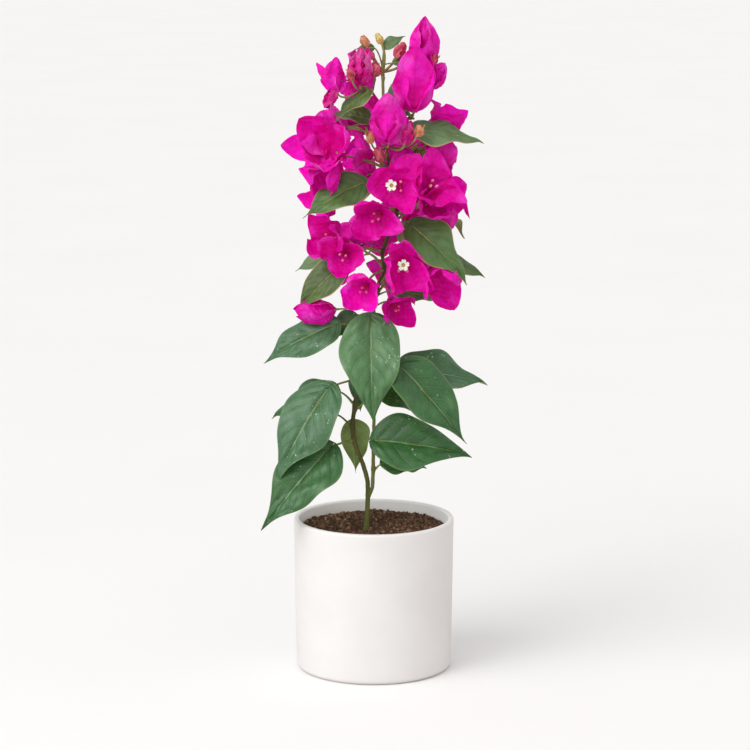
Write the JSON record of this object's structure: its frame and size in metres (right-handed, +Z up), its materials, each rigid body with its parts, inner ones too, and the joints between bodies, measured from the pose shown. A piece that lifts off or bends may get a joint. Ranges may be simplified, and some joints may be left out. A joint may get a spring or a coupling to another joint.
{
  "type": "potted bougainvillea",
  "caption": "Young flowering bougainvillea with a slender forked stem, broad drooping leaves and papery three-bract blooms, standing in a plain round pot.",
  "frame": {"origin": "centre of the pot's flat underside", "axes": "+Z up along the pot's axis, +X to the right and -Y to the viewer when the plant is seen from its front"},
  "size_m": [0.1824, 0.138, 0.5265],
  "materials": {
    "pot": "satin",
    "soil": "matte",
    "bark": "matte",
    "leaf": "satin",
    "bract": "matte"
  },
  "bodies": {
    "root": {"leaf_back_1": "leaf", "leaf_back_2": "leaf", "leaf_back_3": "leaf", "leaf_front": "leaf", "leaf_left_behind": "leaf", "leaf_left_high": "leaf", "leaf_left_inner": "leaf", "leaf_left_large": "leaf", "leaf_low_inner": "leaf", "leaf_low_left": "leaf", "leaf_low_right": "leaf", "leaf_low_right_behind": "leaf", "leaf_mid_behind": "leaf", "leaf_mid_right": "leaf", "leaf_right_behind": "leaf", "leaf_right_inner": "leaf", "leaf_right_large": "leaf", "leaf_stem_inner": "leaf", "leaf_top_inner": "leaf", "leaf_upper_inner": "leaf", "main_stem": "bark", "pot": "pot", "side_stem": "bark", "soil": "soil", "spray_back_1": "bract", "spray_back_2": "bract", "spray_back_3": "bract", "spray_back_4": "bract", "spray_back_5": "bract", "spray_back_6": "bract", "spray_back_7": "bract", "spray_centre_low": "bract", "spray_centre_top": "bract", "spray_front": "bract", "spray_front_mid": "bract", "spray_left_inner": "bract", "spray_left_low": "bract", "spray_left_mid": "bract", "spray_left_upper": "bract", "spray_right_low": "bract", "spray_right_mid": "bract", "spray_right_upper": "bract", "spray_side_top": "bract", "spray_tip": "bract", "spray_top_left": "bract", "spray_top_right": "bract"}
  },
  "joints": []
}
